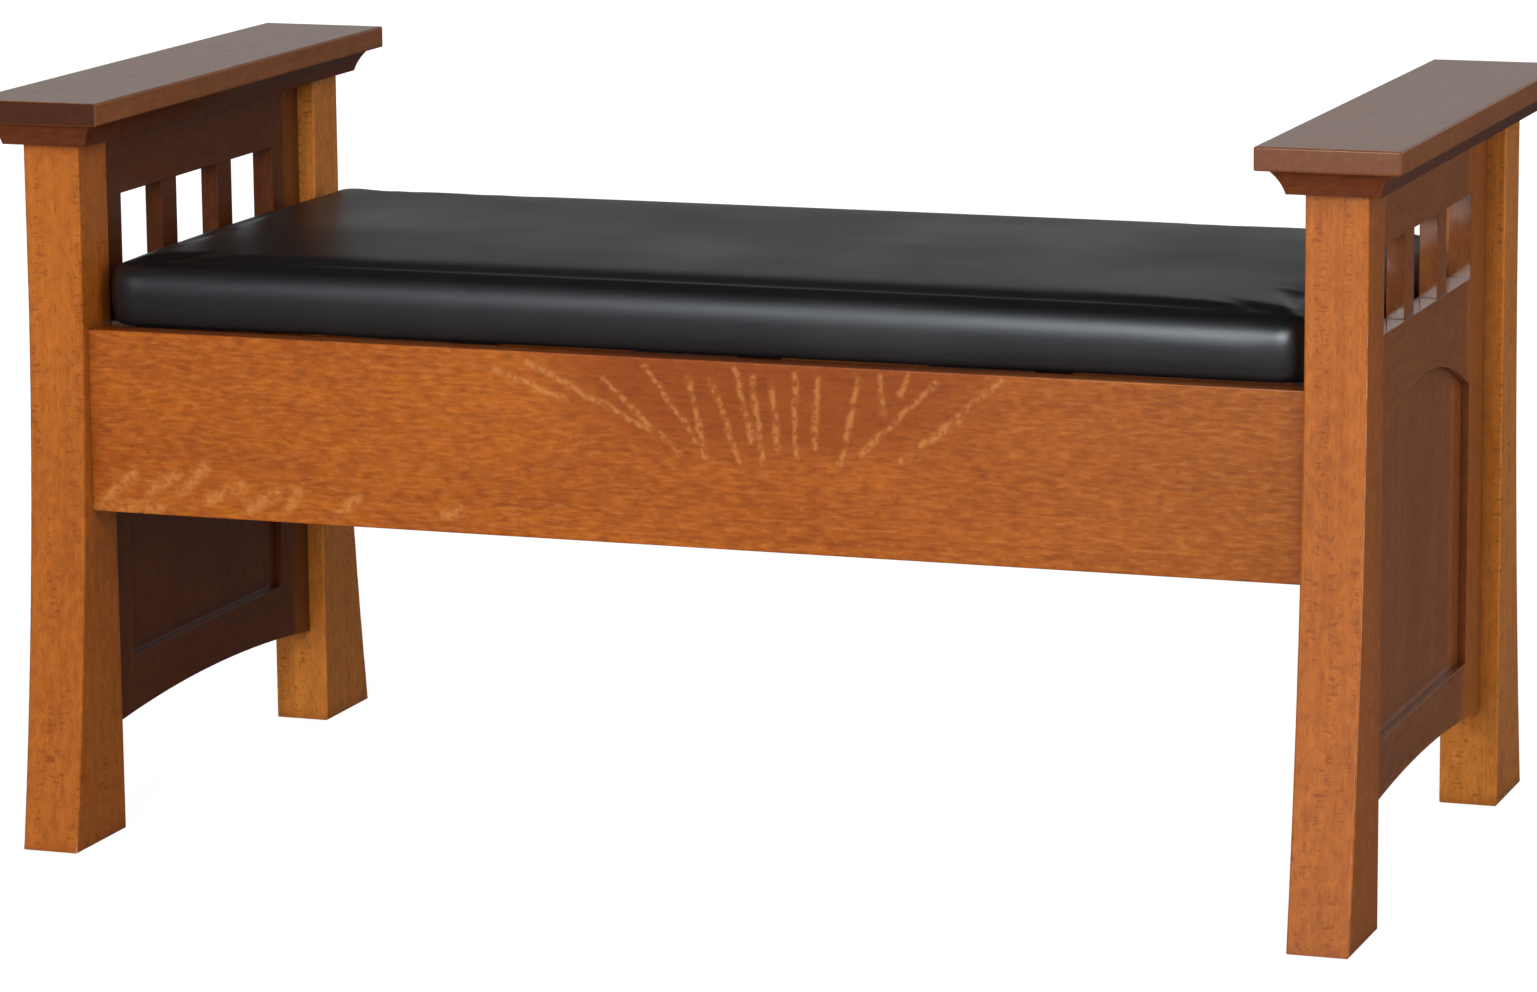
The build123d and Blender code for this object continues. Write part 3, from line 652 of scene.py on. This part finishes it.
class SETTLE_OT_supports(bpy.types.Operator):
    """Finish of the cleats, bearers and board under the seat"""

    bl_idname = "settle.supports"
    bl_label = "Seat supports"

    def execute(self, context):
        stain = ("#3A1F10", "#5A331B")
        cleat = plain_wood("stained_poplar_cleat", "X", *stain, 5.0, 0.62)
        dress(["front_cleat", "back_cleat"], cleat)
        block = plain_wood("stained_poplar_block", "Y", *stain, 8.0, 0.62)
        dress([f"{side}_end_cleat" for side in SIDES], block)
        bearers = [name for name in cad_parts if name.startswith("seat_bearer")]
        dress(bearers, plain_wood("stained_poplar_bearer", "Y", "#371D0F", "#553019", 11.0, 0.62))
        dress(["seat_board"], plain_wood("sanded_birch_plywood", "X", "#B39468", "#CFB284", 14.0, 0.68))
        return {"FINISHED"}


class SETTLE_OT_screws(bpy.types.Operator):
    """Countersunk screws of the seat supports, and staples of the dust cover"""

    bl_idname = "settle.screws"
    bl_label = "Screws and staples"

    def execute(self, context):
        fixings = context.scene.settle_fixings
        plating = self.zinc_plate()
        tree = self.screw_tree(fixings)
        for name, length, places in self.screw_places():
            points = bpy.data.meshes.new(f"{name}_places")
            points.from_pydata([place for place, outward in places], [], [])
            facing = points.attributes.new("outward", "FLOAT_VECTOR", "POINT")
            for spot, (place, outward) in zip(facing.data, places):
                spot.vector = outward
            given = {"Length": length, "Metal": plating}
            screws = self.finish(context, tree, f"{name}_turned", points, given)
            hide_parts(name)
            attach(screws, BODY)
        low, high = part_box("seat_dust_cover")
        given = {"Width": high.x - low.x, "Depth": high.y - low.y, "Height": low.z, "Metal": plating}
        staples = self.finish(context, self.staple_tree(fixings), "dust_cover_staples", None, given)
        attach(staples, BODY)
        return {"FINISHED"}

    def screw_places(self):
        """Each group of screws with its length, and the place and facing of every head."""
        radius = 4.2 * MM  # of the heads in the CAD
        bearers = [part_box(f"seat_bearer_{step}") for step in (1, 2, 3)]
        middles = [(low.x + high.x) / 2 for low, high in bearers]
        both = (-1, 1)

        low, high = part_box("seat_screws")
        under = [((x, end * (high.y - radius), low.z), (0, 0, -1)) for x in middles for end in both]
        groups = [("seat_screws", high.z - low.z, under)]

        low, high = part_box("bearer_screws")
        above = [((x, end * (high.y - radius), high.z), (0, 0, 1)) for x in middles for end in both]
        groups.append(("bearer_screws", high.z - low.z, above))

        low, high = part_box("cleat_screws")
        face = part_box("back_cleat")[0].y
        row = [(high.x - radius) * share for share in (-1, -1 / 3, 1 / 3, 1)]
        level = (low.z + high.z) / 2
        long = [((x, end * face, level), (0, -end, 0)) for x in row for end in both]
        groups.append(("cleat_screws", high.y - face, long))

        low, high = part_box("end_cleat_screws")
        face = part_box("right_end_cleat")[0].x
        level = (low.z + high.z) / 2
        across = high.y - radius
        short = [((end * face, way * across, level), (-end, 0, 0)) for end in both for way in both]
        groups.append(("end_cleat_screws", high.x - face, short))
        return groups

    def new_tree(self, name, sizes):
        """Geometry tree with these sizes in metres as named inputs."""
        tree = bpy.data.node_groups.new(name, "GeometryNodeTree")
        tree.interface.new_socket("Places", in_out="INPUT", socket_type="NodeSocketGeometry")
        for label, size in sizes.items():
            socket = tree.interface.new_socket(label, in_out="INPUT", socket_type="NodeSocketFloat")
            socket.default_value = size
        tree.interface.new_socket("Metal", in_out="INPUT", socket_type="NodeSocketMaterial")
        tree.interface.new_socket("Made", in_out="OUTPUT", socket_type="NodeSocketGeometry")
        return tree

    def screw_tree(self, fixings):
        """A screw with a cross recess at each place, its head facing along the outward attribute."""
        sizes = {
            "Length": 30 * MM,
            "Head width": fixings.head_width,
            "Head depth": fixings.head_depth,
            "Shank width": fixings.shank_width,
            "Recess span": fixings.recess_span,
            "Recess width": fixings.recess_width,
            "Recess depth": fixings.recess_depth,
            "Tip radius": 0.6 * MM,
        }
        tree = self.new_tree("countersunk_screws", sizes)
        node = partial(add, tree)
        given = node("NodeGroupInput").outputs
        factors = {"Head width": 0.5, "Shank width": 0.5, "Head depth": -1, "Recess depth": 2, "Length": -1}
        head, shank, sunk, deep, tip = (
            node("ShaderNodeMath", {0: given[size], 1: factor}, 0, operation="MULTIPLY")
            for size, factor in factors.items()
        )
        cone = {"Vertices": 20, "Radius Top": head, "Radius Bottom": shank, "Depth": given["Head depth"]}
        cone = node("GeometryNodeMeshCone", cone, "Mesh")
        sunk = node("ShaderNodeCombineXYZ", {"Z": sunk}, 0)
        cone = node("GeometryNodeTransform", {"Geometry": cone, "Translation": sunk}, 0)
        span, slot = given["Recess span"], given["Recess width"]
        cut = cone
        for x, y in ((span, slot), (slot, span)):
            arm = node("ShaderNodeCombineXYZ", {0: x, 1: y, 2: deep}, 0)
            arm = node("GeometryNodeMeshCube", {"Size": arm}, 0)
            cut = node("GeometryNodeMeshBoolean", {0: cut, 1: arm}, 0, operation="DIFFERENCE")
        rod = node("ShaderNodeMath", {0: given["Length"], 1: given["Head depth"]}, 0, operation="SUBTRACT")
        rod = {"Vertices": 12, "Radius Top": shank, "Radius Bottom": given["Tip radius"], "Depth": rod}
        rod = node("GeometryNodeMeshCone", rod, "Mesh")
        tip = node("ShaderNodeCombineXYZ", {"Z": tip}, 0)
        rod = node("GeometryNodeTransform", {"Geometry": rod, "Translation": tip}, 0)
        join = node("GeometryNodeJoinGeometry")
        for part in (cut, rod):
            tree.links.new(part, join.inputs[0])
        outward = node("GeometryNodeInputNamedAttribute", {"Name": "outward"}, 0, data_type="FLOAT_VECTOR")
        turn = node("FunctionNodeAlignRotationToVector", {"Vector": outward}, 0, axis="Z")
        spread = {"Points": given["Places"], "Instance": join.outputs[0], "Rotation": turn}
        spread = node("GeometryNodeInstanceOnPoints", spread, 0)
        self.close_tree(tree, spread, given["Metal"])
        return tree

    def staple_tree(self, fixings):
        """Staples in a row along the edge of the dust cover, each a little askew."""
        sizes = {
            "Width": 1.0,
            "Depth": 0.4,
            "Height": 0.4,
            "Edge": fixings.staple_edge,
            "Spacing": fixings.staple_spacing,
            "Crown": fixings.staple_crown,
            "Wire width": fixings.staple_wire,
            "Wire height": 0.5 * MM,
            "Askew": 0.09,
        }
        tree = self.new_tree("cover_staples", sizes)
        node = partial(add, tree)
        given = node("NodeGroupInput").outputs
        inset = node("ShaderNodeMath", {0: given["Edge"], 1: 2.0}, 0, operation="MULTIPLY")
        width = node("ShaderNodeMath", {0: given["Width"], 1: inset}, 0, operation="SUBTRACT")
        depth = node("ShaderNodeMath", {0: given["Depth"], 1: inset}, 0, operation="SUBTRACT")
        loop = node("GeometryNodeCurvePrimitiveQuadrilateral", {"Width": width, "Height": depth}, 0)
        row = node("GeometryNodeCurveToPoints", {"Curve": loop, "Length": given["Spacing"]}, mode="LENGTH")
        turn = {"Vector": row.outputs["Tangent"]}
        turn = node("FunctionNodeAlignRotationToVector", turn, 0, axis="X")
        skew = node("ShaderNodeMath", {0: given["Askew"], 1: -1.0}, 0, operation="MULTIPLY")
        skew = node("FunctionNodeRandomValue", {"Min": skew, "Max": given["Askew"], "Seed": 7}, "Value")
        skew = node("ShaderNodeCombineXYZ", {"Z": skew}, 0)
        turn = node("FunctionNodeRotateRotation", {0: turn, 1: skew}, 0, rotation_space="LOCAL")
        size = {0: given["Crown"], 1: given["Wire width"], 2: given["Wire height"]}
        wire = node("GeometryNodeMeshCube", {"Size": node("ShaderNodeCombineXYZ", size, 0)}, 0)
        spread = {"Points": row.outputs["Points"], "Instance": wire, "Rotation": turn}
        spread = node("GeometryNodeInstanceOnPoints", spread, 0)
        level = {0: given["Wire height"], 1: -0.5, 2: given["Height"]}
        level = node("ShaderNodeMath", level, 0, operation="MULTIPLY_ADD")
        lifted = {"Geometry": spread, "Translation": node("ShaderNodeCombineXYZ", {"Z": level}, 0)}
        self.close_tree(tree, node("GeometryNodeTransform", lifted, 0), given["Metal"])
        return tree

    def close_tree(self, tree, made, metal):
        made = add(tree, "GeometryNodeRealizeInstances", {0: made}, 0)
        made = add(tree, "GeometryNodeSetMaterial", {"Geometry": made, "Material": metal}, 0)
        add(tree, "NodeGroupOutput", {0: made})

    def finish(self, context, tree, name, points, given):
        """Run the tree on the points with these inputs, and keep the plain mesh."""
        start = points or bpy.data.meshes.new(f"{name}_start")
        made = link(context, name, start)
        modifier = made.modifiers.new("made", "NODES")
        modifier.node_group = tree
        for socket in tree.interface.items_tree:
            if socket.name in given:
                modifier[socket.identifier] = given[socket.name]
        keep_made(context, made, name)
        return made

    def zinc_plate(self):
        """Zinc-plated steel: bright, slightly yellow, with dull clouds in the plating."""
        material, tree = new_material("zinc_plated_steel")
        node = partial(add, tree)
        cloud = stretched_noise(tree, node("ShaderNodeTexCoord", out="Object"), (2.5 * MM,) * 3, 4.0, 2.0)
        two = {0: cloud, 6: opaque(linear("#9A947F")), 7: opaque(linear("#C9C3A8"))}
        dull = {**MID, "Value": cloud, "To Min": 0.28, "To Max": 0.5}
        finish = {
            "Base Color": node("ShaderNodeMix", two, 2, **COLOURS),
            "Metallic": 1.0,
            "Roughness": node("ShaderNodeMapRange", dull, 0),
        }
        node("ShaderNodeOutputMaterial", {"Surface": node("ShaderNodeBsdfPrincipled", finish, 0)})
        return material


class SETTLE_OT_seat(bpy.types.Operator):
    """Filled leather seat"""

    bl_idname = "settle.seat"
    bl_label = "Seat"

    def execute(self, context):
        seat = context.scene.settle_seat
        cushion = self.start_shape(context, seat)
        self.fill(context, cushion, seat)
        self.refine(context, cushion)
        self.press_pleats(cushion, seat)
        cushion.data.materials.append(self.upholstery_leather(seat))
        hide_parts("seat_cover", "seat_foam")
        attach(cushion, BODY)
        return {"FINISHED"}

    def start_shape(self, context, seat):
        """Closed skin over the CAD cover in even quads."""
        mesh = bpy.data.meshes.new("seat_cushion")
        bm = bmesh.new()
        bm.from_mesh(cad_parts["seat_cover"].data)
        hull = bmesh.ops.convex_hull(bm, input=bm.verts)
        bmesh.ops.delete(bm, geom=list(set(hull["geom_interior"] + hull["geom_unused"])), context="VERTS")
        bmesh.ops.remove_doubles(bm, verts=bm.verts, dist=0.01 * MM)
        bmesh.ops.recalc_face_normals(bm, faces=bm.faces)
        bm.to_mesh(mesh)
        bm.free()
        cushion = link(context, "seat_cushion", mesh)
        remesh = cushion.modifiers.new("even_quads", "REMESH")
        remesh.mode = "VOXEL"
        remesh.voxel_size = seat.voxel
        keep_made(context, cushion, "seat_cushion_even")
        for face in cushion.data.polygons:
            face.use_smooth = True
        return cushion

    def fill(self, context, cushion, seat):
        """Start a little inside the cover, and let the filling push the leather out."""
        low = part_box("seat_cover")[0]
        held = cushion.vertex_groups.new(name="held")
        vertices = cushion.data.vertices
        outward = [vertex.normal.copy() for vertex in vertices]
        fast = low.z + seat.edge
        shares = [min(1.0, max(0.0, (vertex.co.z - fast) / seat.foot)) for vertex in vertices]
        for vertex, normal, share in zip(vertices, outward, shares):
            vertex.co -= normal * seat.tuck * share
            if share == 0.0:
                held.add([vertex.index], 1.0, "REPLACE")
        rest = [vertex.co.copy() for vertex in vertices]
        cloth = cushion.modifiers.new("filling", "CLOTH")
        cloth.settings.vertex_group_mass = "held"
        cloth.settings.use_pressure = True
        cloth.settings.uniform_pressure_force = seat.pressure
        cloth.settings.effector_weights.gravity = 0.0
        cloth.settings.quality = 5
        cloth.settings.tension_stiffness = 40.0
        cloth.settings.compression_stiffness = 40.0
        cloth.settings.bending_stiffness = 8.0
        for step in range(1, 21):
            context.scene.frame_set(step)
        evaluated = cushion.evaluated_get(context.evaluated_depsgraph_get())
        moved = [vertex.co.copy() for vertex in evaluated.data.vertices]
        cushion.modifiers.clear()
        context.scene.frame_set(1)
        for vertex, normal, start, end, share in zip(vertices, outward, rest, moved, shares):
            push = end - start
            push = (push - normal * min(0.0, push.dot(normal))) * share
            if push.length > seat.swell:
                push *= seat.swell / push.length
            vertex.co = start + push
        cushion.vertex_groups.clear()

    def refine(self, context, cushion):
        """One subdivision, made part of the mesh."""
        subdivision = cushion.modifiers.new("finer", "SUBSURF")
        subdivision.levels = 1
        subdivision.render_levels = 1
        keep_made(context, cushion, "seat_cushion_filled")

    def press_pleats(self, cushion, seat):
        """Press the fold of the leather into each upright corner."""
        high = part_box("seat_cover")[1]
        centre = Vector((high.x, high.y)) - Vector((seat.corner, seat.corner))
        vertices = cushion.data.vertices
        outward = [vertex.normal.copy() for vertex in vertices]
        for vertex, normal in zip(vertices, outward):
            reach = Vector((abs(vertex.co.x), abs(vertex.co.y))) - centre
            if min(reach) > 0.0:
                turn = math.atan2(reach.y, reach.x) - math.radians(45.0)
                away = turn * seat.corner / seat.pleat_width
                share = min(1.0, reach.length / seat.corner) ** 2
                vertex.co -= normal * seat.pleat_depth * share * math.exp(-away * away)

    def upholstery_leather(self, seat):
        """Upholstery leather, drum-dyed black with a satin topcoat.

        To the eye: near black, a fine pebbled grain, a cool soft shine, paler where it is rubbed.
        """
        material, tree = new_material("black_upholstery_leather")
        node = partial(add, tree)
        place = node("ShaderNodeTexCoord", out="Object")
        cells = {"Vector": place, "Scale": 1 / seat.grain_size, "Randomness": 0.9}
        cells = node("ShaderNodeTexVoronoi", cells, "Distance", feature="DISTANCE_TO_EDGE")
        pebble = node("ShaderNodeMapRange", {"Value": cells, "From Max": 0.28}, 0, **SMOOTH)
        cloud = stretched_noise(tree, place, (150 * MM,) * 3, 1.0, 2.0)
        crease = stretched_noise(tree, place, (30 * MM, 12 * MM, 12 * MM), 8.0, 3.0, 0.4)
        rubbed = {"Value": cloud, "From Min": 0.45, "From Max": 0.75, "To Max": 0.6}
        rubbed = node("ShaderNodeMapRange", rubbed, 0, **SMOOTH)
        hide = {0: rubbed, 6: opaque(seat.leather), 7: opaque(seat.scuff)}
        hide = node("ShaderNodeMix", hide, 2, **COLOURS)
        # Darker in the grooves between the cells of the grain
        dyed = node("ShaderNodeMix", {0: 0.4, 6: hide, 7: (0.0, 0.0, 0.0, 1.0)}, 2, **COLOURS)
        height = node("ShaderNodeMath", {0: pebble, 1: 0.30, 2: crease}, 0, operation="MULTIPLY_ADD")
        dull = {**MID, "Value": cloud, "To Min": 0.35, "To Max": 0.42}
        finish = {
            "Base Color": node("ShaderNodeMix", {0: pebble, 6: dyed, 7: hide}, 2, **COLOURS),
            "Specular IOR Level": 0.85,
            "Roughness": node("ShaderNodeMapRange", dull, 0),
            "IOR": 1.50,
            "Specular Tint": (0.90, 0.95, 1.0, 1.0),
            "Normal": node("ShaderNodeBump", {"Strength": 0.15, "Distance": 0.3 * MM, "Height": height}, 0),
        }
        node("ShaderNodeOutputMaterial", {"Surface": node("ShaderNodeBsdfPrincipled", finish, 0)})
        return material


class SETTLE_OT_dust_cover(bpy.types.Operator):
    """Black cloth under the seat"""

    bl_idname = "settle.dust_cover"
    bl_label = "Dust cover"

    def execute(self, context):
        low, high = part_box("seat_dust_cover")
        size = high - low
        mesh = bpy.data.meshes.new("dust_cloth")
        bm = bmesh.new()
        bmesh.ops.create_grid(bm, x_segments=96, y_segments=44, size=0.5)
        for vertex in bm.verts:
            vertex.co = Vector((vertex.co.x * size.x, vertex.co.y * size.y, high.z))
        bmesh.ops.solidify(bm, geom=bm.faces, thickness=0.5 * size.z)
        bmesh.ops.recalc_face_normals(bm, faces=bm.faces)
        bm.to_mesh(mesh)
        bm.free()
        cloth = link(context, "dust_cloth", mesh)
        mesh.materials.append(self.spunbond_cloth())
        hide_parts("seat_dust_cover")
        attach(cloth, BODY)
        return {"FINISHED"}

    def spunbond_cloth(self):
        """Spun polypropylene: thin black cloth with a dimpled weld pattern."""
        material, tree = new_material("spunbond_cloth")
        node = partial(add, tree)
        place = node("ShaderNodeTexCoord", out="Object")
        welds = {"Vector": place, "Scale": 1 / (1.6 * MM), "Randomness": 0.15}
        dimples = node("ShaderNodeTexVoronoi", welds, "Distance")
        fibre = stretched_noise(tree, place, (3 * MM,) * 3, 1.0, 3.0)
        two = {0: fibre, 6: opaque(linear("#0E0E0F")), 7: opaque(linear("#232325"))}
        dull = {"Value": dimples, "From Max": 0.5, "To Min": 0.95, "To Max": 0.8}
        finish = {
            "Base Color": node("ShaderNodeMix", two, 2, **COLOURS),
            "Roughness": node("ShaderNodeMapRange", dull, 0),
            "Sheen Weight": 0.2,
            "Normal": node("ShaderNodeBump", {"Strength": 0.4, "Distance": 0.2 * MM, "Height": dimples}, 0),
        }
        node("ShaderNodeOutputMaterial", {"Surface": node("ShaderNodeBsdfPrincipled", finish, 0)})
        return material


class SETTLE_PT_panel(bpy.types.Panel):
    """Sizes, colours and steps of the settle"""

    bl_idname = "SETTLE_PT_panel"
    bl_label = "Mission settle"
    bl_space_type = "VIEW_3D"
    bl_region_type = "UI"
    bl_category = "Settle"

    def draw(self, context):
        scene = context.scene
        for group in GROUPS:
            settings = getattr(scene, group)
            box = self.layout.box()
            for name in settings.__annotations__:
                box.prop(settings, name)
        for step in STEPS:
            self.layout.operator(step.bl_idname)


GROUPS = {
    "settle_oak": SettleOak,
    "settle_seat": SettleSeat,
    "settle_fixings": SettleFixings,
    "settle_studio": SettleStudio,
}
STEPS = (
    SETTLE_OT_stage,
    SETTLE_OT_posts,
    SETTLE_OT_long_rails,
    SETTLE_OT_arms,
    SETTLE_OT_end_frames,
    SETTLE_OT_supports,
    SETTLE_OT_screws,
    SETTLE_OT_seat,
    SETTLE_OT_dust_cover,
)


def register():
    for kind in (*GROUPS.values(), *STEPS, SETTLE_PT_panel):
        bpy.utils.register_class(kind)
    for name, kind in GROUPS.items():
        setattr(bpy.types.Scene, name, bpy.props.PointerProperty(type=kind))


def unregister():
    for name in GROUPS:
        delattr(bpy.types.Scene, name)
    for kind in (SETTLE_PT_panel, *reversed(STEPS), *reversed(GROUPS.values())):
        bpy.utils.unregister_class(kind)


def main():
    register()
    for step in STEPS:
        group, action = step.bl_idname.split(".")
        getattr(getattr(bpy.ops, group), action)()


if __name__ == "__main__":
    main()
